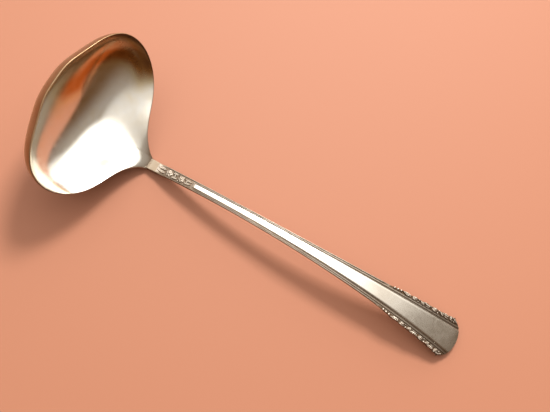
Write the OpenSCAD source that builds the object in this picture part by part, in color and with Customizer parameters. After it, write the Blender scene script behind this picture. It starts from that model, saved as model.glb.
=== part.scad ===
// Sauce ladle lying on a flat surface: a tilted bowl with a pouring lip on each side, and a
// long arched handle with reeded edges, a plain centre panel and flower borders at its tip.
// X runs from the bowl to the handle's tip, Y runs across and Z is up. The origin is on the
// surface, under the middle of the ladle's outer box. Sizes are in millimetres.

/* [Overall] */
// Overall length, from the back of the bowl to the handle's tip
ladle_len = 165; // [150:1:185]

/* [Bowl] */
// Bowl length in the plane of its rim, from the neck to the far edge
bowl_len = 48.8; // [42:0.2:56]
// Bowl width across the two pouring lips
bowl_w = 59; // [50:0.2:66]
// Bowl depth below the plane of its rim
bowl_depth = 14.5; // [13:0.1:17]
// Angle between the plane of the rim and the surface
bowl_tilt = 45.5; // [40:0.5:50]
// Wall thickness of the bowl
wall = 1.1; // [0.9:0.1:1.5]
// Depth of the flat worn under the heel, where the ladle rests
rest_flat = 0.8; // [0.6:0.01:0.95]

/* [Handle] */
// Half-width at the neck
neck_half_w = 2; // [1.8:0.1:2.4]
// Half-width at the tip
tip_half_w = 7.2; // [6:0.1:8.5]
// Half-width of the centre panel at the tip
panel_half_w = 4.7; // [3.5:0.1:5]
// Thickness at the neck
neck_t = 3; // [2.6:0.1:3.6]
// Thickness at the tip
tip_t = 2.3; // [1.8:0.1:3]
// Height of the arch's control points above the surface
arch_h = 14; // [12:0.5:17]

/* [Mouldings] */
// Height of the centre panel above the handle's face
panel_h = 0.6; // [0.4:0.05:0.8]
// Height of the reeds above the handle's face
reed_h = 0.35; // [0.2:0.05:0.5]
// Height of the flowers and leaves above the handle's face
relief_h = 0.9; // [0.6:0.05:1.2]
// Number of flowers along each border
border_flowers = 3; // [2:1:4]

/* [Hidden] */
silver = "#c9c2b4";
bright = "#e6e1d6";
aged = "#8f8474";

// ---- curves ----

// Point t of 0..1 on the Bezier curve with control values p
function bezier(p, t) =
    len(p) == 1 ? p[0] : bezier([for (i = [0:len(p) - 2]) (1 - t) * p[i] + t * p[i + 1]], t);

// Point t of 0..1 in span k of the uniform cubic B-spline with control points p
function spline_at(p, k, t) =
    (pow(1 - t, 3) * p[k] + (3 * pow(t, 3) - 6 * t * t + 4) * p[k + 1]
    + (-3 * pow(t, 3) + 3 * t * t + 3 * t + 1) * p[k + 2] + pow(t, 3) * p[k + 3]) / 6;

function unit(v) = v / norm(v);
function clamp01(x) = min(1, max(0, x));
function smooth(x) = let (c = clamp01(x)) c * c * (3 - 2 * c);

// ---- bowl: points are [s, v, w], s along the rim plane from the neck, v across, w out of it ----

// Half the rim's outline at its nominal size, drawn as a B-spline's control points: the neck,
// the hollow shoulder, the pouring lip and the slightly hollow turn to the far edge
rim_half = [[-5.5, 2], [0, 1.5], [5.7, 5.2], [10, 10.7], [13.1, 17.6], [16.9, 23.2], [22.8, 27.7],
    [29.9, 30.1], [37.2, 28.8], [42.1, 23.5], [44.6, 17.3], [46.6, 12], [48.8, 6.5], [48.8, 0]];
rim_size = [48.8, 59];
rim_scale = [bowl_len / rim_size.x, bowl_w / rim_size.y];
span_steps = 3;
rim_controls = concat(rim_half, [[rim_half[12].x, -rim_half[12].y]]);
rim_side = [
    for (k = [0:len(rim_controls) - 4], j = [0:span_steps - 1])
        let (p = spline_at(rim_controls, k, j / span_steps)) [p.x * rim_scale.x, p.y * rim_scale.y],
    [bowl_len, 0]
];
last = len(rim_side) - 1;
rim = concat(rim_side, [for (i = [last - 1:-1:0]) [rim_side[i].x, -rim_side[i].y]]);
cols = len(rim);
rows = 12;

// The dish falls from the rim to its middle. Its level lines turn from the rim's outline into
// a plain oval on the way. A low fullness makes the walls stand upright at the rim, and they
// lean out more and more towards the neck.
middle_s = 0.472 * bowl_len;
oval = [0.451 * bowl_len, 0.41 * bowl_w];
oval_shift = 3;
fullness = 0.44;
neck_ease = 1.34;

// Inner surface: from the rim (row 0) down to the middle (last row)
function inner_point(i, j) =
    let (
        from = [rim[j].x - middle_s, rim[j].y],
        a = atan2(from.y, from.x),
        share = cos(90 * i / rows),
        drop = 1 - share * share,
        round = [oval.x * cos(a) + oval_shift, oval.y * sin(a)],
        level = share * (from + drop * (round - from)),
        full = fullness + neck_ease * pow((1 - cos(a)) / 2, 2)
    ) [middle_s + level.x, level.y, -bowl_depth * pow(drop, full)];
inner = [for (i = [0:rows]) [for (j = [0:cols - 1]) inner_point(i, j)]];

// Direction from the inner surface to the outer one: square to the wall, and straight down
// at the neck, where the bowl meets the handle
straight_down = [-sin(bowl_tilt), 0, -cos(bowl_tilt)];
neck_reach = 8;
function outward(i, j) =
    let (
        along = inner[i][(j + 1) % cols] - inner[i][(j + cols - 1) % cols],
        down = inner[i + 1][j] - inner[max(0, i - 1)][j],
        square = unit(cross(along, down)),
        share = (1 - clamp01(rim[j].x / neck_reach)) * (1 - i / rows)
    ) unit((1 - share) * square + share * straight_down);
function thickness(i) = wall * (0.75 + 0.25 * clamp01(i / 2));
outer_free = [
    for (i = [0:rows - 1]) [
        for (j = [0:cols - 1])
            let (at_neck = i == 0 && (j == 0 || j == cols - 1))
            inner[i][j] + (at_neck ? wall : thickness(i)) * outward(i, j)
    ]
];

// From the rim's own frame to the ladle's frame, first with the neck at the origin
function tilted(p) =
    [-p.x * cos(bowl_tilt) + p.z * sin(bowl_tilt), p.y, p.x * sin(bowl_tilt) + p.z * cos(bowl_tilt)];
outer_tilted = [for (ring = outer_free, p = ring) tilted(p)];
// How far the heel drop hangs below the bowl at row i
heel_rows = 5;
function heel_depth(i) = (1 - pow(i / (heel_rows + 1), 3)) * (neck_t - wall);
heel_low = min([for (i = [0:heel_rows]) tilted(outer_free[i][0]).z - heel_depth(i)]);
neck = [
    -ladle_len / 2 - min([for (p = outer_tilted) p.x]),
    0,
    -rest_flat - min(heel_low, min([for (p = outer_tilted) p.z]))
];
// Nothing hangs below the surface: what would is worn flat
function worn(p) = [p.x, p.y, max(0, p.z)];
function placed(p) = worn(tilted(p) + neck);

// ---- handle: stations run from the neck (0) to the tip (stations) ----

stations = 48;
spray_end = 7;
border_start = 36;
tip_x = ladle_len / 2;
face_ramp = 2;
tip_bow = 0.055;
corner_pull = 1.2;

function share_at(x) = clamp01((x - neck.x) / (tip_x - neck.x));
// Height of the handle's crest above the surface
function crest(x) =
    bezier([neck.z, arch_h, 0.965 * arch_h, 1.1 * arch_h, tip_t], share_at(x));
function slope(x) = atan2(crest(x + 0.5) - crest(x - 0.5), 1);
function half_w(k) =
    bezier([neck_half_w, 0.65 * neck_half_w, 0.36 * tip_half_w, tip_half_w], k / stations);
function panel_half(k) =
    bezier([0.17, 0.17, 0.33, 1] * panel_half_w, k / stations);
function depth(k) = bezier([neck_t, 1.1 * neck_t, 1.04 * tip_t, tip_t], k / stations);
// The handle's face lies below the crest by the panel's height, except at the neck
function face(k) = -panel_h * smooth(k / face_ramp);

// The tip is bowed, and its corners are rounded
function pulled(k, y) =
    let (
        ramp = pow(clamp01((k / stations - 0.9) / 0.1), 2),
        corner = clamp01(abs(y) / half_w(k) - 0.7) / 0.3
    ) (tip_bow * y * y + corner_pull * corner * corner) * ramp;
// Point at station k, y across and h above the crest
function at(k, y, h) =
    let (x = neck.x + (tip_x - neck.x) * k / stations - pulled(k, y)) [x, y, crest(x) + h];

// Depth of the handle's rounded back across its width, as a share of its depth at the middle
function belly(u) = 1 - 0.5 * pow(abs(u), 3);
across = [for (i = [-4:4]) i / 4];

// Mouldings beside the panel, measured outwards from its edge
function band(k) = half_w(k) - panel_half(k);
function reed_in(k) = panel_half(k) + min(0.2 * band(k), 0.4);
function reed_out(k) = reed_in(k) + min(0.3 * band(k), 0.5);
function edge_in(k) = half_w(k) - min(0.3 * band(k), 0.6);
function border_in(k) = reed_out(k) + min(0.2 * band(k), 0.3);

// ---- solids from rings of points ----

// Closed solid over a row of rings with equal numbers of points
module skin(rings) {
    n = len(rings[0]);
    end = (len(rings) - 1) * n;
    points = [for (ring = rings, p = ring) p];
    sides = [
        for (i = [0:len(rings) - 2], j = [0:n - 1])
            let (a = i * n + j, b = i * n + (j + 1) % n)
            each [[a, b, a + n], [b, b + n, a + n]]
    ];
    caps = [
        for (j = [0:ceil(n / 2) - 2])
            let (a = j, b = j + 1, c = n - 2 - j, d = n - 1 - j)
            each concat([[a, d, b], [end + a, end + b, end + d]],
                b < c ? [[b, d, c], [end + b, end + c, end + d]] : [])
    ];
    polyhedron(points, concat(sides, caps));
}

// Half-round reed between two distances from the middle, on the left (1) or right (-1)
module reed(first, final, side, from_y, to_y) {
    profile = [[0, 0], [0.12, 0.6], [0.5, 1], [0.88, 0.6], [1, 0]];
    skin([
        for (k = [first:final])
            let (r = [
                for (p = profile)
                    at(k, side * (from_y(k) + p.x * (to_y(k) - from_y(k))), face(k) + reed_h * p.y)
            ]) side > 0 ? r : [for (i = [len(r) - 1:-1:0]) r[i]]
    ]);
}

// Puts a child on the handle's face at station k, y across, turned to lie along it
module on_face(k, y, turn = 0) {
    p = at(k, y, face(k));
    translate(p) rotate([0, -slope(p.x), 0]) rotate(turn) children();
}

// ---- flowers and leaves ----

module dome(length, width, height) {
    scale([length, width, 2 * height]) intersection() {
        sphere(d = 1, $fn = 12);
        translate([-1, -1, 0]) cube(2);
    }
}

// Leaf with a round base at the origin and a pointed tip along +X
module leaf(length, width, height) {
    hull() {
        translate([width / 2, 0, 0]) dome(width, width, height);
        translate([length - 0.2, 0, 0]) dome(0.3, 0.2, 0.3 * height);
    }
}

// Flower with a round boss and a ring of petals
module flower(d, height) {
    dome(0.42 * d, 0.42 * d, height);
    for (a = [0:72:288]) {
        rotate(a) translate([0.3 * d, 0, 0]) hull() dome(0.38 * d, 0.32 * d, 0.65 * height);
    }
}

// ---- nodes ----

module bowl() {
    inner_pts = [for (i = [0:rows - 1], j = [0:cols - 1]) placed(inner[i][j])];
    outer_pts = [for (ring = outer_free, p = ring) placed(p)];
    inner_pole = rows * cols;
    first_outer = inner_pole + 1;
    outer_pole = first_outer + rows * cols;
    floor_p = inner[rows][0];
    points = concat(inner_pts, [placed(floor_p)], outer_pts, [placed(floor_p - [0, 0, wall])]);
    faces = [
        for (i = [0:rows - 2], j = [0:cols - 1])
            let (a = i * cols + j, b = i * cols + (j + 1) % cols, c = first_outer)
            each [
                [a, a + cols, b], [b, a + cols, b + cols],
                [c + a, c + b, c + a + cols], [c + b, c + b + cols, c + a + cols]
            ],
        for (j = [0:cols - 1])
            let (b = (j + 1) % cols, r = (rows - 1) * cols, c = first_outer)
            each [
                [j, b, c + j], [b, c + b, c + j],
                [r + j, inner_pole, r + b], [c + r + j, c + r + b, outer_pole]
            ]
    ];
    color(silver) polyhedron(points, faces);
}

// Thickening that carries the handle's back under the bowl, against the bowl's outer face
module heel_drop() {
    color(silver) skin([
        for (i = [heel_rows:-1:0])
            let (l = outer_free[i][0], r = outer_free[i][cols - 1])
            concat(
                [for (u = across) placed((r + l) / 2 + u * (l - r) / 2)],
                [
                    for (n = [len(across) - 1:-1:0])
                        let (u = across[n], p = placed((r + l) / 2 + u * (l - r) / 2))
                        worn(p - [0, 0, heel_depth(i) * belly(u)])
                ]
            )
    ]);
}

module handle() {
    color(silver) skin([
        for (k = [0:stations])
            concat(
                [for (u = across) at(k, u * half_w(k), face(k))],
                [
                    for (n = [len(across) - 1:-1:0])
                        worn(at(k, across[n] * half_w(k), -depth(k) * belly(across[n])))
                ]
            )
    ]);
}

module centre_panel() {
    crown = [[-1, -0.15], [-0.5, -0.04], [0, 0], [0.5, -0.04], [1, -0.15]];
    bevel = 0.3;
    color(bright) skin([
        for (k = [spray_end:stations])
            let (p = panel_half(k), flat = p - bevel)
            concat(
                [at(k, -p, -panel_h), at(k, -p, -0.6 * panel_h)],
                [for (c = crown) at(k, c.x * flat, c.y)],
                [at(k, p, -0.6 * panel_h), at(k, p, -panel_h)]
            )
    ]);
}

module inner_reed(side) {
    color(silver) reed(spray_end, stations, side, function (k) reed_in(k), function (k) reed_out(k));
}

module edge_reed(side) {
    color(silver)
        reed(face_ramp, border_start, side, function (k) edge_in(k), function (k) half_w(k));
}

// Strip along the edge near the tip: flowers, each between two leaves, after a run of beads
module flower_border(side) {
    plate = 0.2;
    run = (stations - border_start - 1) / (border_flowers + 0.5);
    color(aged) union() {
        skin([
            for (k = [border_start:stations])
                let (ys = [side * border_in(k), side * half_w(k)], y = side > 0 ? ys : [ys[1], ys[0]])
                [
                    at(k, y[0], face(k)), at(k, y[0], face(k) + plate),
                    at(k, y[1], face(k) + plate), at(k, y[1], face(k))
                ]
        ]);
        for (n = [0:2]) {
            k = border_start + 0.4 + 0.45 * n;
            on_face(k, side * (border_in(k) + half_w(k)) / 2) hull() dome(0.9, 0.9, 0.7 * relief_h);
        }
        for (n = [0:border_flowers - 1]) {
            k = border_start + (n + 1.25) * run;
            y = side * (border_in(k) + half_w(k)) / 2;
            size = half_w(k) - border_in(k);
            on_face(k, y) flower(1.15 * size, relief_h);
            on_face(k - 0.25 * run, y, 180) leaf(1.6 * size, 0.6 * size, 0.8 * relief_h);
            on_face(k + 0.25 * run, y, 0) leaf(1.6 * size, 0.6 * size, 0.8 * relief_h);
        }
    }
}

// Two flowers with leaves at the neck, between the bowl and the centre panel
module neck_spray() {
    color(aged) union() {
        for (f = [[3.5, 3], [5.5, 2.6]]) on_face(f[0], 0) flower(f[1], relief_h);
        for (side = [-1, 1]) {
            on_face(2.5, side * 0.55, 180 - 8 * side) leaf(3.2, 0.9, 0.7 * relief_h);
            on_face(4.4, side * 0.6, 20 * side) leaf(1.4, 0.8, 0.7 * relief_h);
            on_face(6.2, side * 0.5, 10 * side) leaf(1.6, 0.7, 0.7 * relief_h);
        }
    }
}

bowl();
heel_drop();
handle();
centre_panel();
inner_reed(1);  // inner_reed_left
inner_reed(-1);  // inner_reed_right
edge_reed(1);  // edge_reed_left
edge_reed(-1);  // edge_reed_right
flower_border(1);  // flower_border_left
flower_border(-1);  // flower_border_right
neck_spray();
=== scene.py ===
"""Tarnished silver sauce ladle, lying on its heel and on the tip of its handle.

Shapes are worked out in millimetres from the same driving dimensions as the CAD model, and
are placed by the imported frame's own boxes. mesh_object turns them into metres.
"""

import math

import bpy
import numpy as np
from mathutils import Matrix, Vector


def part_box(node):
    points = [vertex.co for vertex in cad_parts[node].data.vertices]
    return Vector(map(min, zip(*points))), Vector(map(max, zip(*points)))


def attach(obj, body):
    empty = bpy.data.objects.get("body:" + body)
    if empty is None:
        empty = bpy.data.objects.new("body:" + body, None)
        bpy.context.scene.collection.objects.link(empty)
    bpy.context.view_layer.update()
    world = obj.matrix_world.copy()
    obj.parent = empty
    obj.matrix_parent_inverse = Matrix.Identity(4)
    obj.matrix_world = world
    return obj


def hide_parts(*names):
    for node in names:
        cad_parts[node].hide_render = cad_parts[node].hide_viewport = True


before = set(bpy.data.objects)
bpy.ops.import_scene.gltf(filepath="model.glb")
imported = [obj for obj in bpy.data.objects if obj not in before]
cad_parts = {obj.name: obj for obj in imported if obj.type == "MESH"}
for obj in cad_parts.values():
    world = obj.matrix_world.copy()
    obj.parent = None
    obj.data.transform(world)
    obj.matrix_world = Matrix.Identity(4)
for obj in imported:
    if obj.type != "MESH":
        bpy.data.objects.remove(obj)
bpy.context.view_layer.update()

MM = 0.001
BODY = "root"

# ---- driving dimensions, in millimetres ----

BOWL_LEN = 48.8
BOWL_DEPTH = 14.5
BOWL_TILT = math.radians(45.5)
WALL = 1.1
NECK_T = 3.0
TIP_T = 2.3
NECK_HALF_W = 2.0
TIP_HALF_W = 7.2
PANEL_HALF_W = 4.7
PANEL_H = 0.6
REED_H = 0.35
RELIEF_H = 0.9
ARCH_H = 14.0
REST_FLAT = 0.8

# ---- places, from the frame ----

NECK_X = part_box("handle")[0].x / MM
TIP_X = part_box("handle")[1].x / MM
HANDLE_RUN = TIP_X - NECK_X
REST_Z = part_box("heel_drop")[0].z / MM
NECK_Z = REST_Z + NECK_T - REST_FLAT


# ---- curves ----


def bezier(controls, t):
    """Point t of 0..1 on the Bezier curve with these control values."""
    values = [np.asarray(c, float) for c in controls]
    while len(values) > 1:
        values = [(1 - t) * a + t * b for a, b in zip(values, values[1:])]
    return values[0]


def bspline(controls, per_span):
    """Points along the uniform cubic B-spline with these control points."""
    p = np.asarray(controls, float)
    t = (np.arange(per_span) / per_span)[:, None]
    weights = ((1 - t) ** 3, 3 * t**3 - 6 * t**2 + 4, -3 * t**3 + 3 * t**2 + 3 * t + 1, t**3)
    spans = [sum(w * p[k + i] for i, w in enumerate(weights)) / 6 for k in range(len(p) - 3)]
    return np.concatenate(spans)


def smooth(x):
    """Smooth step from 0 to 1."""
    c = np.clip(x, 0, 1)
    return c * c * (3 - 2 * c)


def ramp(x, start, end):
    """Smooth step that is 0 up to start and 1 from end on. End may be the smaller of the two."""
    return smooth((x - start) / (end - start))


def unit(v):
    """The vectors at length 1."""
    return v / np.linalg.norm(v, axis=-1, keepdims=True)


# ---- meshes ----

# Angle in degrees above which an edge is shaded as a crease
CREASE = 50


def mesh_object(name, points, faces, node, slot, patina_and_painted_shade, tarnish_and_painted_light=None, crease=CREASE):
    """Makes one piece from points in millimetres, which stands for a CAD node. The patina layer
    darkens its hollows and paints shade, and the tarnish layer browns it and paints light, each
    from 0 to 1 at every point."""
    mesh = bpy.data.meshes.new(name)
    mesh.from_pydata((np.asarray(points) * MM).tolist(), [], faces)
    mesh.shade_smooth()
    mesh.set_sharp_from_angle(angle=math.radians(crease))
    for layer_name, values in (("patina_and_painted_shade", patina_and_painted_shade), ("tarnish_and_painted_light", tarnish_and_painted_light)):
        if values is not None:
            layer = mesh.attributes.new(layer_name, "FLOAT", "POINT")
            layer.data.foreach_set("value", np.clip(values, 0, 1).astype(np.float32).ravel())
    mesh.materials.append(FINISHES[slot])
    piece = bpy.data.objects.new(name, mesh)
    bpy.context.scene.collection.objects.link(piece)
    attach(piece, BODY)
    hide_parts(node)


def ring_sides(count, n):
    """Quads between count rings of n points each."""
    i, j = np.meshgrid(np.arange(count - 1), np.arange(n), indexing="ij")
    a = i * n + j
    b = i * n + (j + 1) % n
    return np.stack([a, b, b + n, a + n], -1).reshape(-1, 4)


def ring_ends(count, n):
    """Quads that close the first and the last ring; n is even."""
    j = np.arange(n // 2 - 1)
    start = np.stack([j, n - 1 - j, n - 2 - j, j + 1], -1)
    end = (count - 1) * n + start[:, ::-1]
    return np.concatenate([start, end])


def sweep(name, rings, node, slot, patina_and_painted_shade, tarnish_and_painted_light=None, crease=CREASE):
    """Closed solid over rings of points, which run clockwise seen from the first ring's side."""
    count, n, _ = rings.shape
    faces = np.concatenate([ring_sides(count, n), ring_ends(count, n)]).tolist()
    mesh_object(name, rings.reshape(-1, 3), faces, node, slot, patina_and_painted_shade, tarnish_and_painted_light, crease)


# ---- bowl: points are [s, v, w], s along the rim plane from the neck, v across, w out of it ----

# Half the rim's outline as a B-spline's control points: the neck, the hollow shoulder, the
# pouring lip and the slightly hollow turn to the far edge
RIM_HALF = [(-5.5, 2), (0, 1.5), (5.7, 5.2), (10, 10.7), (13.1, 17.6), (16.9, 23.2), (22.8, 27.7),
            (29.9, 30.1), (37.2, 28.8), (42.1, 23.5), (44.6, 17.3), (46.6, 12), (48.8, 6.5),
            (48.8, 0)]
# Numbers of steps along each span of the outline, across the neck, from the rim down to the
# bowl's middle, and over the rounded rim
RIM_STEPS = 11
NECK_STEPS = 13
BOWL_ROWS = 64
LIP_ROWS = 8
BOWL_MIDDLE = 23.0
# Powers of the dish's depth at the neck and at the far edge: upright walls at the far edge,
# which lean out more and more towards the neck
FULLNESS = (1.4, 0.47)
FULLNESS_REACH = 44.0
# The dish starts from a blown film over the rim, which is a sum of FILM_TERMS powers
FILM_MIDDLE = 24.0
FILM_SPAN = 27.0
FILM_BIAS = 0.3
FILM_TERMS = 19
# How far from the neck the bowl's outside leans towards straight down, to meet the heel
NECK_REACH = 8.0
# Share of the wall's thickness that is left at the rim, and how far the rim's edge bulges
RIM_WALL = 0.45
RIM_BULGE = 0.8


def rim_outline():
    """The rim's outline from the neck's left corner round to the neck, then across the neck."""
    s, v = RIM_HALF[-2]
    side = np.vstack([bspline(RIM_HALF + [(s, -v)], RIM_STEPS), [[BOWL_LEN, 0]]])
    other = side[-2::-1] * [1, -1]
    half = side[0][1]
    across = [(0, y) for y in np.linspace(-half, half, NECK_STEPS + 1)[1:-1]]
    return np.vstack([side, other, across])


def membrane(rim):
    """Height over the rim plane of a film held by the rim: zero on the rim, smooth inside it."""
    def terms(p):
        z = ((p[..., 0] - FILM_MIDDLE) + 1j * p[..., 1]) / FILM_SPAN
        blown = np.abs(z) ** 2 * (1 - FILM_BIAS * z.real)
        return np.stack([(z**k).real for k in range(FILM_TERMS)], -1), blown

    harmonic, blown = terms(rim)
    weights = np.linalg.lstsq(harmonic, blown, rcond=1e-10)[0]

    def height(p):
        harmonic, blown = terms(p)
        return harmonic @ weights - blown

    return height


def inner_surface(rim):
    """The bowl's inner surface, from the rim (first row) to its middle (last row)."""
    rho = np.cos(np.arange(BOWL_ROWS + 1) / BOWL_ROWS * math.pi / 2)[:, None]
    middle = np.array([BOWL_MIDDLE, 0])
    flat = middle + rho[:, :, None] * (rim - middle)
    film = membrane(rim)(flat)
    film = np.maximum(film - film[0] * rho**6, 0)
    at_neck, at_far_edge = FULLNESS
    fullness = at_neck + (at_far_edge - at_neck) * ramp(flat[..., 0], 0, FULLNESS_REACH)
    w = -BOWL_DEPTH * (film / film.max()) ** fullness
    return np.concatenate([flat, w[..., None]], -1)


def outer_surface(inner, rim):
    """The bowl's outer surface, a wall's thickness outside the inner one."""
    along = np.roll(inner, -1, 1) - np.roll(inner, 1, 1)
    down = np.concatenate([inner[1:2] - inner[:1], inner[2:] - inner[:-2]])
    square = unit(np.cross(along[:-1], down))
    straight_down = np.array([-math.sin(BOWL_TILT), 0, -math.cos(BOWL_TILT)])
    inwards = (np.arange(BOWL_ROWS) / BOWL_ROWS)[:, None, None]
    near_neck = (1 - np.clip(rim[:, 0] / NECK_REACH, 0, 1))[None, :, None] * (1 - inwards)
    outwards = unit((1 - near_neck) * square + near_neck * straight_down)
    thickness = WALL * (RIM_WALL + (1 - RIM_WALL) * ramp(inwards, 0, 0.25))
    thickness = thickness + (WALL - thickness) * near_neck
    return inner[:-1] + thickness * outwards


def placed(p):
    """From the rim's own frame to the ladle's frame."""
    s, v, w = p[..., 0], p[..., 1], p[..., 2]
    cos, sin = math.cos(BOWL_TILT), math.sin(BOWL_TILT)
    z = np.maximum(s * sin + w * cos + NECK_Z, REST_Z)
    return np.stack([-s * cos + w * sin + NECK_X, v, z], -1)


def rim_arc(inner, outer):
    """Half-round rows over the rim, from the inner surface to the outer one."""
    middle = (inner[0] + outer[0]) / 2
    half = (outer[0] - inner[0]) / 2
    bulge = RIM_BULGE * unit(inner[0] - inner[1]) * np.linalg.norm(half, axis=-1, keepdims=True)
    angles = np.arange(1, LIP_ROWS) * math.pi / LIP_ROWS
    return np.stack([middle - half * math.cos(a) + bulge * math.sin(a) for a in angles])


rim_line = rim_outline()
bowl_inner = inner_surface(rim_line)
bowl_outer = outer_surface(bowl_inner, rim_line)


def lip_turn(p):
    """Direction from the bowl's middle in degrees: 0 is the far edge and 90 the left lip."""
    return np.degrees(np.arctan2(p[..., 1], p[..., 0] - BOWL_MIDDLE))


def depth_share(p):
    """Depth below the rim plane, as a share of the bowl's depth."""
    return np.clip(-p[..., 2] / BOWL_DEPTH, 0, 1)


def lip_painted_reflection(p):
    """Painted reflection inside the bowl, which follows the rim under the left lip: brown at the
    edge and orange-brown in a band below it. It thins out past the lip, and a faint brown
    reflection is painted along the far edge too."""
    turn, deep = lip_turn(p), depth_share(p)
    from_middle = np.hypot(p[..., 0] - BOWL_MIDDLE, p[..., 1])
    lip = ramp(turn, -50, 35) * ramp(turn, 112, 87) * ramp(from_middle, 6, 13)
    band_depth = 0.86 - 0.66 * ramp(turn, 10, 95) ** 2.2
    orange = 0.66 * np.exp(-(((deep - band_depth) / 0.15) ** 2))
    above = ramp(deep - band_depth, 0.06, -0.06)
    brown = (0.4 + 0.5 * ramp(deep, 0.3, 0) * ramp(turn, 15, 55)) * above
    far_edge = 0.25 * ramp(p[..., 0], 30, 42) * ramp(deep, 1, 0)
    return np.maximum.reduce([orange * lip, brown * lip, far_edge])


def bowl():
    """Wide tilted bowl with a pouring lip on each side and a rounded rim."""
    arc = rim_arc(bowl_inner, bowl_outer)
    rows = np.concatenate([bowl_inner[-2::-1], arc, bowl_outer])
    count, cols, _ = rows.shape
    floor = bowl_inner[-1, :1]
    poles = np.concatenate([floor, floor - [0, 0, WALL]])
    points = placed(np.concatenate([rows.reshape(-1, 3), poles]))
    faces = ring_sides(count, cols).tolist()
    inner_pole = count * cols
    last = (count - 1) * cols
    for k in range(cols):
        after = (k + 1) % cols
        faces.append([inner_pole, after, k])
        faces.append([inner_pole + 1, last + k, last + after])

    # Browner and darker over the outside, more so near the rim as painted reflection of the shaded
    # table;
    # painted shade inside under the left lip, and on the rim, most of all near the neck and least
    # at the far edge
    row = np.arange(count)[:, None]
    on_rim = (row >= BOWL_ROWS - 1) & (row < BOWL_ROWS + LIP_ROWS - 1)
    outside = row >= BOWL_ROWS + LIP_ROWS // 2
    far = ramp(rim_line[None, :, 0], 18, 40)
    near_rim = ramp(rows[..., 2], -9, 0)
    turn = lip_turn(rows)
    # Painted shade inside, near the rim under the left lip
    inside = 0.6 * ramp(depth_share(rows), 0.6, 0.1) * ramp(turn, 35, 65) * ramp(turn, 112, 87)
    patina_and_painted_shade = np.where(outside, 0.3 + 0.3 * near_rim, inside)
    # Painted shade on the rim, lightest at the far edge
    patina_and_painted_shade = np.clip(patina_and_painted_shade + np.where(on_rim, 0.6 - 0.45 * far, 0), 0, 0.85)
    tarnish_and_painted_light = np.where(outside, 0.12 + 0.3 * near_rim, lip_painted_reflection(rows))
    patina_and_painted_shade = np.append(patina_and_painted_shade, [0, 0.3])
    tarnish_and_painted_light = np.append(tarnish_and_painted_light, [0, 0.12])
    mesh_object("bowl_shell", points, faces, "bowl", "bowl_silver", patina_and_painted_shade, tarnish_and_painted_light, 60)


# ---- handle: t runs from the neck (0) to the tip (1) ----

# The CAD model's stations along the handle, and where its parts begin and end on them
STATIONS = 48
PANEL_START = 6.6
EDGE_REED_START = 2
BORDER_START = 36
SPRAY_START = 1.3
SPRAY_END = 6.8
# Over TIP_SHARE of the run, the end bows outwards and the outer CORNER_SHARE is rounded off
TIP_SHARE = 0.1
TIP_BOW = 0.055
CORNER_SHARE = 0.3
CORNER_PULL = 1.2
EDGE_RADIUS = 0.22
# Power of the super-ellipse that rounds the handle's back
BACK_POWER = 2.8


def station(k):
    """Share of the handle's run at one of the CAD model's stations."""
    return k / STATIONS


def crest(x):
    """Height of the handle's crest above the surface."""
    t = np.clip((x - NECK_X) / HANDLE_RUN, 0, 1)
    return bezier([NECK_Z, ARCH_H, 0.965 * ARCH_H, 1.1 * ARCH_H, TIP_T], t)


def half_w(t):
    """Half the handle's width."""
    return bezier([NECK_HALF_W, 0.65 * NECK_HALF_W, 0.36 * TIP_HALF_W, TIP_HALF_W], t)


def panel_half(t):
    """Half the centre panel's width."""
    return bezier(np.array([0.17, 0.17, 0.33, 1]) * PANEL_HALF_W, t)


def depth(t):
    """The handle's thickness."""
    return bezier([NECK_T, 1.1 * NECK_T, 1.04 * TIP_T, TIP_T], t)


def face(t):
    """Height of the handle's face, which lies below the crest except at the neck."""
    return -PANEL_H * ramp(t, 0, station(2))


def on_handle(t, y, h):
    """Point at share t of the run, y across and h above the crest."""
    t, y, h = np.broadcast_arrays(np.asarray(t, float), y, h)
    at_tip = np.clip((t - (1 - TIP_SHARE)) / TIP_SHARE, 0, 1) ** 2
    corner = np.clip(np.abs(y) / half_w(t) - (1 - CORNER_SHARE), 0, CORNER_SHARE) / CORNER_SHARE
    x = NECK_X + HANDLE_RUN * t - (TIP_BOW * y * y + CORNER_PULL * corner**2) * at_tip
    return np.stack([x, y, crest(x) + h], -1)


# Distances from the handle's middle. Outside the panel come a groove, the inner reed, another
# groove, and then the edge reed or the border.


def band(t):
    return half_w(t) - panel_half(t)


def reed_in(t):
    return panel_half(t) + np.minimum(0.2 * band(t), 0.4)


def reed_out(t):
    return reed_in(t) + np.minimum(0.3 * band(t), 0.5)


def edge_in(t):
    return half_w(t) - np.minimum(0.3 * band(t), 0.6)


def border_in(t):
    return reed_out(t) + np.minimum(0.2 * band(t), 0.3)


def tip_tarnish(t):
    """The last third of the handle is duller than the rest, and its end is the dullest."""
    return 0.55 * ramp(t, 0.56, 0.76) + 0.35 * ramp(t, 0.97, 1)


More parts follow.
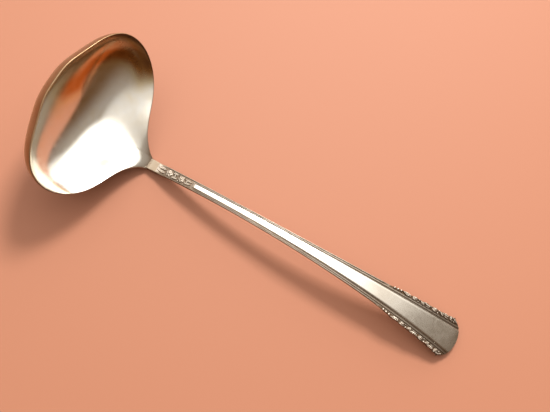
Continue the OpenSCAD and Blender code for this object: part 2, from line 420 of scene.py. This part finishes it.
def handle():
    """Long arched handle: a flat face with rounded edges, over a rounded back."""
    t = np.linspace(0, 1, 400)[:, None]
    corner = np.linspace(0, math.pi / 2, 5)[None, 1:]
    back = np.linspace(0, math.pi, 30)[None, 1:-1]
    y_top = np.linspace(-1, 1, 15)[None] * (half_w(t) - EDGE_RADIUS)
    h_top = face(t) + 0 * y_top
    y_corner = half_w(t) - EDGE_RADIUS * (1 - np.sin(corner))
    h_corner = face(t) - EDGE_RADIUS * (1 - np.cos(corner))
    low = depth(t) + face(t) - EDGE_RADIUS
    power = 2 / BACK_POWER
    y_back = half_w(t) * np.sign(np.cos(back)) * np.abs(np.cos(back)) ** power
    h_back = face(t) - EDGE_RADIUS - low * np.sin(back) ** power
    y = np.concatenate([y_top, y_corner, y_back, -y_corner[:, ::-1]], 1)
    h = np.concatenate([h_top, h_corner, h_back, h_corner[:, ::-1]], 1)
    points = on_handle(t, y, h)
    points[..., 2] = np.maximum(points[..., 2], REST_Z)

    # Dark patina in the grooves on the face; painted shade on the right-hand flank, away from the
    # light, and round the neck
    on_face = (h > face(t) - EDGE_RADIUS / 2) & (t > 0.02)
    grooves = np.where(on_face, 0.75 * ramp(t, 0.02, 0.05), 0.08)
    painted_flank_shade = 0.7 * ramp(-y / half_w(t), 0.6, 1.6) * ramp(t, 0.03, 0.08)
    neck = 0.45 * ramp(t, 0, 0.02) * ramp(t, 0.09, 0.04)
    patina_and_painted_shade = np.maximum.reduce([grooves, painted_flank_shade, neck + 0 * h])
    # Browner near the neck as painted shade, and duller towards the tip
    tarnish_and_painted_light = np.maximum(ramp(t, 0.25, 0.1), tip_tarnish(t)) + 0 * h
    sweep("handle_blank", points, "handle", "handle_silver", patina_and_painted_shade, tarnish_and_painted_light)


def heel_drop():
    """Feathered drop that carries the handle's back under the bowl. It starts between the neck's
    corners, runs down the bowl's outside over a share (reach) of the bowl's rows, and its top
    laps into the bowl's wall."""
    count = 40
    reach = 0.5
    lap = 0.4
    across = np.linspace(-1, 1, 16)
    belly = (1 - np.abs(across) ** BACK_POWER) ** (1 / BACK_POWER)
    corner = bowl_outer[:, 0]
    rings = []
    for share in np.linspace(0, 1, count):
        row, part = divmod(share * reach * (BOWL_ROWS - 1), 1)
        left = corner[int(row)] * (1 - part) + corner[int(row) + 1] * part
        right = left * [1, -1, 1]
        top = placed((right + left) / 2 + across[:, None] * (left - right) / 2)
        bottom = top.copy()
        bottom[:, 2] -= (1 - share**3) * (NECK_T - WALL) * belly
        bottom[:, 2] = np.maximum(bottom[:, 2], REST_Z)
        top[:, 2] += lap
        rings.append(np.concatenate([top, bottom[::-1]]))
    rings = np.array(rings)[::-1]
    even = np.ones(rings.shape[:2])
    sweep("neck_heel", rings, "heel_drop", "handle_silver", 0.4 * even, 0.8 * even, 70)


def centre_panel():
    """Plain raised panel with a low crown and a sloping bevel along each side."""
    first = station(PANEL_START)
    crown = 0.12
    t = np.linspace(first, 1, 360)[:, None]
    p = panel_half(t)
    bevel = np.minimum(0.6, 0.3 * p)
    share = np.array([[0.0, 0.0, 0.15, 0.4, 0.7, 0.9, 1.0]])
    drop = np.array([[1.0, 0.72, 0.56, 0.36, 0.14, 0.04, 0.0]])
    y_side = p - bevel * share
    h_side = -PANEL_H * drop - crown * ((p - bevel) / PANEL_HALF_W) ** 2 * (1 - drop)
    y_top = (p - bevel) * np.linspace(-1, 1, 14)[None, 1:-1]
    h_top = -crown * (y_top / PANEL_HALF_W) ** 2
    y = np.concatenate([-y_side, y_top, y_side[:, ::-1]], 1)
    h = np.concatenate([h_side, h_top, h_side[:, ::-1]], 1)
    h = -PANEL_H + (h + PANEL_H) * ramp(t, first, first + 0.012)
    patina_and_painted_shade = np.clip(-(h + 0.25) / (PANEL_H - 0.25), 0, 1)
    tarnish_and_painted_light = tip_tarnish(t) + 0 * h
    sweep("centre_panel_face", on_handle(t, y, h), "centre_panel", "panel_silver", patina_and_painted_shade, tarnish_and_painted_light)


def reed(name, node, first, final, side, from_y, to_y):
    """Half-round reed between two distances from the middle, on the left (1) or right (-1). It
    fades in, and out too where it ends before the tip."""
    t = np.linspace(station(first), station(final), 320)[:, None]
    a = np.linspace(0, math.pi, 10)[None, ::side]
    u, h = (1 - np.cos(a)) / 2, np.sin(a) ** 0.8
    fade = station(1.2)
    height = REED_H * h * ramp(t, t[0], t[0] + fade)
    if final < STATIONS:
        height = height * ramp(t, t[-1], t[-1] - fade)
    y = side * (from_y(t) + u * (to_y(t) - from_y(t)))
    # Dark at the foot and lighter on the crest; the right-hand reeds stay darker, as painted shade
    # on the side away from the light
    patina_and_painted_shade = 0.9 - (0.5 if side > 0 else 0.25) * h + 0 * t
    tarnish_and_painted_light = np.maximum(0.5, tip_tarnish(t)) + 0 * h
    sweep(name, on_handle(t, y, face(t) + height), node, "handle_silver", patina_and_painted_shade, tarnish_and_painted_light)


# ---- flowers and leaves, as heights over a strip: x along it and y across, in millimetres ----


def bead(x, y, cx, cy, r, height):
    """Half-round bead with its middle at (cx, cy)."""
    return height * np.sqrt(np.clip(1 - ((x - cx) ** 2 + (y - cy) ** 2) / r**2, 0, 1))


def flower(x, y, cx, cy, r, height, turn):
    """Five creased petals round a boss."""
    radius = np.hypot(x - cx, y - cy)
    angle = np.arctan2(y - cy, x - cx) - turn
    petal = np.abs(np.cos(2.5 * angle))
    edge = r * (0.62 + 0.38 * petal**0.7)
    body = np.clip(1 - (radius / edge) ** 3, 0, 1) ** 0.5
    crease = 1 - 0.35 * np.exp(-((1 - petal) / 0.25) ** 2)
    petals = 0.75 * height * body * crease * (0.72 + 0.28 * np.clip(radius / r, 0, 1))
    return np.maximum(petals, bead(x, y, cx, cy, 0.32 * r, height))


def leaf(x, y, x0, y0, x1, y1, width, height):
    """Leaf with a midrib and side veins, from its stem (x0, y0) to its tip (x1, y1)."""
    length = math.hypot(x1 - x0, y1 - y0)
    ux, uy = (x1 - x0) / length, (y1 - y0) / length
    p = ((x - x0) * ux + (y - y0) * uy) / length
    q = -(x - x0) * uy + (y - y0) * ux
    c = np.clip(p, 0, 1)
    half = width / 2 * np.sin(math.pi * c**0.75) + 1e-6
    across = np.abs(q) / half
    body = np.where((p > 0) & (p < 1), np.clip(1 - across**2, 0, 1) ** 0.5, 0)
    midrib = 1 - 0.4 * np.exp(-(q / 0.11) ** 2)
    veins = 1 - 0.14 * (0.5 + 0.5 * np.cos(11 * (c * length - 0.8 * np.abs(q))))
    return height * body * midrib * veins


def highest(*heights):
    """The highest of several reliefs at every point."""
    return np.maximum.reduce(heights)


# Distance from the tip to a border's first flower, from flower to flower, and how far a border
# stands out past the handle's edge
FLOWER_PLACE = 21.3
FLOWER_PITCH = 8.4
OVERHANG = 0.55
# Heights of the ground between the flowers, on the borders and at the neck
BORDER_GROUND = 0.1
SPRAY_GROUND = 0.06


def border_relief(x, y):
    """Heights of one border: a run of beads and a leaf, then flowers with beads and leaves between.
    x is the distance to the tip's end along the handle, y runs outwards from the strip's middle."""
    h = highest(*[bead(x, y, 29.6 - 1.3 * n, 0.1, 0.5, 0.62) for n in range(3)])
    h = highest(h, leaf(x, y, 22.9, -0.1, 26.4, 0.3, 1.4, 0.7))
    for n in range(3):
        c = FLOWER_PLACE - FLOWER_PITCH * n
        h = highest(h, flower(x, y, c, 0.0, 1.15, RELIEF_H, 0.3 + n),
                    bead(x, y, c - 1.75, 0.4, 0.5, 0.75),
                    bead(x, y, c - 1.5, -0.6, 0.4, 0.55))
        if n < 2:
            h = highest(h, leaf(x, y, c - 4.1, -0.55, c - 2.0, 0.45, 1.0, 0.8),
                        leaf(x, y, c - 7.1, 0.25, c - 3.2, 0.4, 1.3, 0.75),
                        leaf(x, y, c - 6.6, -0.62, c - 4.4, -0.4, 0.7, 0.55))
    return highest(h, leaf(x, y, 0.5, -0.3, 2.6, 0.2, 1.2, 0.65))


def flower_border(name, node, side):
    """Strip of struck flowers and leaves along one edge near the tip, with a scalloped rim."""
    first = station(BORDER_START)
    t = np.linspace(first, 1, 520)[:, None]
    u = np.linspace(0, 1, 40)[None]
    to_tip = HANDLE_RUN * (1 - t)
    grown = OVERHANG * ramp(t, first, first + station(2))
    middle = (border_in(t) + half_w(t) + grown) / 2
    scallop = 0.8 + 0.2 * np.cos(2 * math.pi * (to_tip - FLOWER_PLACE) / (FLOWER_PITCH / 2))
    outer = half_w(t) + grown * scallop
    across = border_in(t) + u * (outer - border_in(t))
    relief = border_relief(to_tip + 0 * across, across - middle)
    skirt = ramp(u, 0, 0.06) * ramp(u, 1, 0.95)
    ends = ramp(t, first, first + 0.003) * ramp(t, 1, 0.996)
    height = (BORDER_GROUND + relief) * skirt * ends
    past_edge = np.clip((across - half_w(t) + 0.3) / 0.3, 0, 1)
    under = -0.02 - 0.45 * ramp(t, first, first + 0.01) * past_edge
    y = np.concatenate([across, across[:, ::-1]], 1) * side
    h = np.concatenate([face(t) + height, face(t) + under[:, ::-1]], 1)
    worn = np.clip(height / RELIEF_H, 0, 1)
    patina_and_painted_shade = np.concatenate([0.95 - 0.75 * smooth(1.4 * worn - 0.25), 0.8 + 0 * worn], 1)
    if side < 0:
        y, h, patina_and_painted_shade = y[:, ::-1], h[:, ::-1], patina_and_painted_shade[:, ::-1]
    sweep(name, on_handle(t, y, h), node, "relief_silver", patina_and_painted_shade, crease=80)


def spray_relief(x, y):
    """Heights of the neck's spray, x from its first leaf towards the panel."""
    h = highest(flower(x, y, 4.9, 0, 1.5, 0.8 * RELIEF_H, 0.2),
                flower(x, y, 9.8, 0, 1.4, 0.75 * RELIEF_H, 0.9),
                bead(x, y, 7.3, 0, 0.4, 0.5),
                bead(x, y, 12.0, 0, 0.35, 0.45))
    for side in (-1, 1):
        h = highest(h, leaf(x, y, 3.4, side * 0.7, 0.3, side * 0.5, 1.15, 0.55),
                    leaf(x, y, 6.1, side * 0.75, 8.5, side * 0.8, 0.95, 0.55),
                    leaf(x, y, 11.0, side * 0.7, 13.9, side * 0.45, 0.85, 0.5),
                    bead(x, y, 6.5, side * 1.5, 0.35, 0.4),
                    bead(x, y, 8.9, side * 1.25, 0.35, 0.4))
    return h


def neck_spray():
    """Two flowers with leaves at the neck, between the bowl and the centre panel."""
    first, final = station(SPRAY_START), station(SPRAY_END)
    t = np.linspace(first, final, 240)[:, None]
    u = np.linspace(-1, 1, 44)[None]
    across = u * 0.99 * edge_in(t)
    relief = spray_relief(HANDLE_RUN * (t - first) + 0 * across, across)
    skirt = ramp(np.abs(u), 1, 0.88)
    ends = ramp(t, first, first + 0.004) * ramp(t, final, final - 0.004)
    height = (SPRAY_GROUND + relief) * ends * skirt
    y = np.concatenate([across, across[:, ::-1]], 1)
    h = np.concatenate([face(t) + height, face(t) - 0.15 + 0 * across], 1)
    worn = np.clip(height / (0.8 * RELIEF_H), 0, 1)
    ground = 0.3 + 0.55 * ramp(t, first, first + 0.02)
    patina_and_painted_shade = np.concatenate([ground - 0.5 * smooth(1.3 * worn - 0.15), ground + 0 * worn], 1)
    points = on_handle(t, y, h)
    sweep("neck_spray_relief", points, "neck_spray", "relief_silver", patina_and_painted_shade, crease=80)


# ---- materials ----

# Dark colour for patina in hollows and for painted shade
PATINA_AND_SHADE_COLOUR = (0.085, 0.045, 0.02, 1)
PATINA_ROUGHNESS = 0.3
SCRATCH_DEPTH = 0.00002


def silver(name, shades, cloudy, roughness, scratch, brush=(1, 1, 1)):
    """Tarnished silver: cloudy colour, smudged gloss, fine scratches, and a dark colour that is
    patina in its hollows and painted shade elsewhere. The shades run evenly from clean metal to
    full tarnish, which on the bowl and at the neck also stands for painted light, and cloudy is how
    far the clouds go. Roughness is the least and the most, and brush stretches the scratches."""
    material = bpy.data.materials.new(name)
    material.use_nodes = True
    nodes, link = material.node_tree.nodes, material.node_tree.links.new
    shader = nodes["Principled BSDF"]
    shader.inputs["Metallic"].default_value = 1.0

    def node(kind, **inputs):
        n = nodes.new("ShaderNode" + kind)
        for key, value in inputs.items():
            n.inputs[key.replace("_", " ")].default_value = value
        return n

    def noise(where, **inputs):
        n = node("TexNoise", **inputs)
        link(where, n.inputs["Vector"])
        return n.outputs["Fac"]

    def spread(value, **inputs):
        n = node("MapRange", **inputs)
        link(value, n.inputs["Value"])
        return n.outputs["Result"]

    def layer(layer_name):
        n = node("Attribute")
        n.attribute_name = layer_name
        return n.outputs["Fac"]

    def arithmetic(operation, *terms, clamp=False):
        n = node("Math")
        n.operation = operation
        n.use_clamp = clamp
        for socket, term in zip(n.inputs, terms):
            if isinstance(term, float):
                socket.default_value = term
            else:
                link(term, socket)
        return n.outputs["Value"]

    # Colour: clouds and zones of tarnish and painted light, then patina and painted shade broken up
    # by a fine grain
    place = node("TexCoord").outputs["Object"]
    clouds = noise(place, Scale=90.0, Detail=6.0, Roughness=0.6, Distortion=0.8)
    clouds = spread(clouds, From_Min=0.38, From_Max=0.72, To_Max=cloudy)
    tint = node("ValToRGB")
    stops = tint.color_ramp.elements
    while len(stops) < len(shades):
        stops.new(0.5)
    for i, shade in enumerate(shades):
        stops[i].position = i / (len(shades) - 1)
        stops[i].color = (*shade, 1)
    link(arithmetic("ADD", clouds, layer("tarnish_and_painted_light"), clamp=True), tint.inputs["Fac"])
    grain = noise(place, Scale=1500.0, Detail=4.0, Roughness=0.7)
    grain = arithmetic("MULTIPLY_ADD", grain, 0.5, 0.75)
    dark = arithmetic("MULTIPLY", layer("patina_and_painted_shade"), grain, clamp=True)
    colour = node("Mix")
    colour.data_type = "RGBA"
    colour.inputs["B"].default_value = PATINA_AND_SHADE_COLOUR
    link(tint.outputs["Color"], colour.inputs["A"])
    link(dark, colour.inputs["Factor"])
    link(colour.outputs["Result"], shader.inputs["Base Color"])

    # Gloss: smudges, and duller where the patina and painted shade are
    least, most = roughness
    smudges = noise(place, Scale=220.0, Detail=5.0, Roughness=0.65, Distortion=1.5)
    smudges = spread(smudges, From_Min=0.3, From_Max=0.75, To_Min=least, To_Max=most)
    rough = arithmetic("MULTIPLY_ADD", dark, PATINA_ROUGHNESS, smudges)
    link(rough, shader.inputs["Roughness"])

    # Scratches
    stretch = node("Mapping", Scale=brush)
    link(place, stretch.inputs["Vector"])
    scratches = noise(stretch.outputs["Vector"], Scale=900.0, Detail=3.0, Roughness=0.8)
    bump = node("Bump", Strength=scratch, Distance=SCRATCH_DEPTH)
    link(scratches, bump.inputs["Height"])
    link(bump.outputs["Normal"], shader.inputs["Normal"])
    return material


# The material of each of the record's slots
FINISHES = {
    # The bowl's orange-brown stops serve its tarnish and the painted reflection under its left lip
    "bowl_silver": silver(
        "bowl_silver_finish",
        [(0.83, 0.81, 0.77), (0.80, 0.68, 0.46), (0.56, 0.25, 0.07), (0.24, 0.09, 0.035)],
        cloudy=0.14, roughness=(0.10, 0.22), scratch=0.25),
    "handle_silver": silver(
        "handle_silver_finish", [(0.76, 0.72, 0.65), (0.40, 0.33, 0.25)],
        cloudy=0.35, roughness=(0.18, 0.32), scratch=0.35, brush=(0.1, 1, 1)),
    "panel_silver": silver(
        "panel_silver_finish", [(0.84, 0.81, 0.75), (0.38, 0.32, 0.25)],
        cloudy=0.25, roughness=(0.20, 0.34), scratch=0.35, brush=(0.06, 1, 1)),
    "relief_silver": silver(
        "relief_silver_finish", [(0.66, 0.60, 0.52), (0.44, 0.37, 0.29)],
        cloudy=0.4, roughness=(0.28, 0.44), scratch=0.4),
}


# ---- stage ----

FLOOR_SIZE = 3.0
FLOOR_COLOUR = (0.285, 0.105, 0.052, 1)
FLOOR_ROUGHNESS = 0.65


def floor():
    """Plain floor under the ladle."""
    half = FLOOR_SIZE / 2
    corners = [(-half, -half, 0), (half, -half, 0), (half, half, 0), (-half, half, 0)]
    mesh = bpy.data.meshes.new("floor")
    mesh.from_pydata(corners, [], [(0, 1, 2, 3)])
    material = bpy.data.materials.new("floor_matte")
    material.use_nodes = True
    shader = material.node_tree.nodes["Principled BSDF"]
    shader.inputs["Base Color"].default_value = FLOOR_COLOUR
    shader.inputs["Roughness"].default_value = FLOOR_ROUGHNESS
    mesh.materials.append(material)
    plane = bpy.data.objects.new("floor", mesh)
    bpy.context.scene.collection.objects.link(plane)


def direction(azimuth, elevation):
    """Unit vector; azimuth 0 is +X and 90 is +Y, in degrees."""
    a, e = math.radians(azimuth), math.radians(elevation)
    return Vector((math.cos(a) * math.cos(e), math.sin(a) * math.cos(e), math.sin(e)))


def area_light(name, azimuth, elevation, distance, size, power, colour):
    """Soft square light that faces the ladle."""
    data = bpy.data.lights.new(name, "AREA")
    data.size = size
    data.energy = power
    data.color = colour
    lamp = bpy.data.objects.new(name, data)
    towards = direction(azimuth, elevation)
    lamp.location = towards * distance
    lamp.rotation_euler = towards.to_track_quat("Z", "Y").to_euler()
    bpy.context.scene.collection.objects.link(lamp)


def soft_world(base, lobes):
    """Even light from all round, with a few broad brighter areas. Each has an azimuth and an
    elevation, the angles from its middle at which it starts to fade and ends, and a colour."""
    world = bpy.data.worlds.new("studio")
    world.use_nodes = True
    nodes, link = world.node_tree.nodes, world.node_tree.links.new
    place = nodes.new("ShaderNodeTexCoord")
    base_node = nodes.new("ShaderNodeCombineXYZ")
    for socket, value in zip(base_node.inputs, base):
        socket.default_value = value
    total = base_node.outputs["Vector"]
    for azimuth, elevation, inner, outer, colour in lobes:
        dot = nodes.new("ShaderNodeVectorMath")
        dot.operation = "DOT_PRODUCT"
        dot.inputs[1].default_value = direction(azimuth, elevation)
        link(place.outputs["Generated"], dot.inputs[0])
        fade = nodes.new("ShaderNodeMapRange")
        fade.interpolation_type = "SMOOTHSTEP"
        fade.inputs["From Min"].default_value = math.cos(math.radians(outer))
        fade.inputs["From Max"].default_value = math.cos(math.radians(inner))
        link(dot.outputs["Value"], fade.inputs["Value"])
        add = nodes.new("ShaderNodeVectorMath")
        add.operation = "MULTIPLY_ADD"
        add.inputs[0].default_value = colour
        link(fade.outputs["Result"], add.inputs[1])
        link(total, add.inputs[2])
        total = add.outputs["Vector"]
    link(total, nodes["Background"].inputs["Color"])
    bpy.context.scene.world = world
    bpy.context.scene.view_settings.view_transform = "Standard"


def lights():
    """One soft lamp for the shadow, and broad bright areas for the silver to mirror: the white
    one at the neck's side of the bowl, a dim high one, a low one behind, and a wide glow."""
    area_light("key", 100, 52, distance=0.9, size=0.22, power=12, colour=(1.0, 0.97, 0.93))
    soft_world((0.15, 0.075, 0.032), [
        (125, 52, 44, 62, (1.6, 1.6, 1.56)),
        (215, 74, 22, 40, (0.5, 0.5, 0.48)),
        (95, 12, 18, 38, (1.5, 1.5, 1.45)),
        (130, 60, 62, 104, (0.28, 0.29, 0.27)),
    ])


# The camera's distance and the point that it aims at are in millimetres
CAMERA_LENS = 60.0
CAMERA_AZIMUTH = math.radians(1.62)
CAMERA_ELEVATION = math.radians(75.64)
CAMERA_ROLL = math.radians(28.89)
CAMERA_DISTANCE = 331.45
CAMERA_AIM = (2.34, 10.43, 0.0)


def camera():
    """Camera above the ladle, looking down steeply from the right-hand (-Y) side."""
    a, e, r = CAMERA_AZIMUTH, CAMERA_ELEVATION, CAMERA_ROLL
    right = Vector((math.cos(a), math.sin(a), 0))
    back = Vector((math.sin(a) * math.cos(e), -math.cos(a) * math.cos(e), math.sin(e)))
    up = back.cross(right)
    across = math.cos(r) * right + math.sin(r) * up
    upright = -math.sin(r) * right + math.cos(r) * up
    data = bpy.data.cameras.new("camera")
    data.lens = CAMERA_LENS
    data.clip_start = 0.01
    eye = bpy.data.objects.new("camera", data)
    matrix = Matrix((across, upright, back)).transposed().to_4x4()
    matrix.translation = (Vector(CAMERA_AIM) + CAMERA_DISTANCE * back) * MM
    eye.matrix_world = matrix
    bpy.context.scene.collection.objects.link(eye)
    bpy.context.scene.camera = eye


camera()
floor()
lights()
bowl()
heel_drop()
handle()
centre_panel()
reed("inner_reed_left_line", "inner_reed_left", PANEL_START, STATIONS, 1, reed_in, reed_out)
reed("inner_reed_right_line", "inner_reed_right", PANEL_START, STATIONS, -1, reed_in, reed_out)
reed("edge_reed_left_line", "edge_reed_left", EDGE_REED_START, BORDER_START, 1, edge_in, half_w)
reed("edge_reed_right_line", "edge_reed_right", EDGE_REED_START, BORDER_START, -1, edge_in, half_w)
flower_border("flower_border_left_relief", "flower_border_left", 1)
flower_border("flower_border_right_relief", "flower_border_right", -1)
neck_spray()
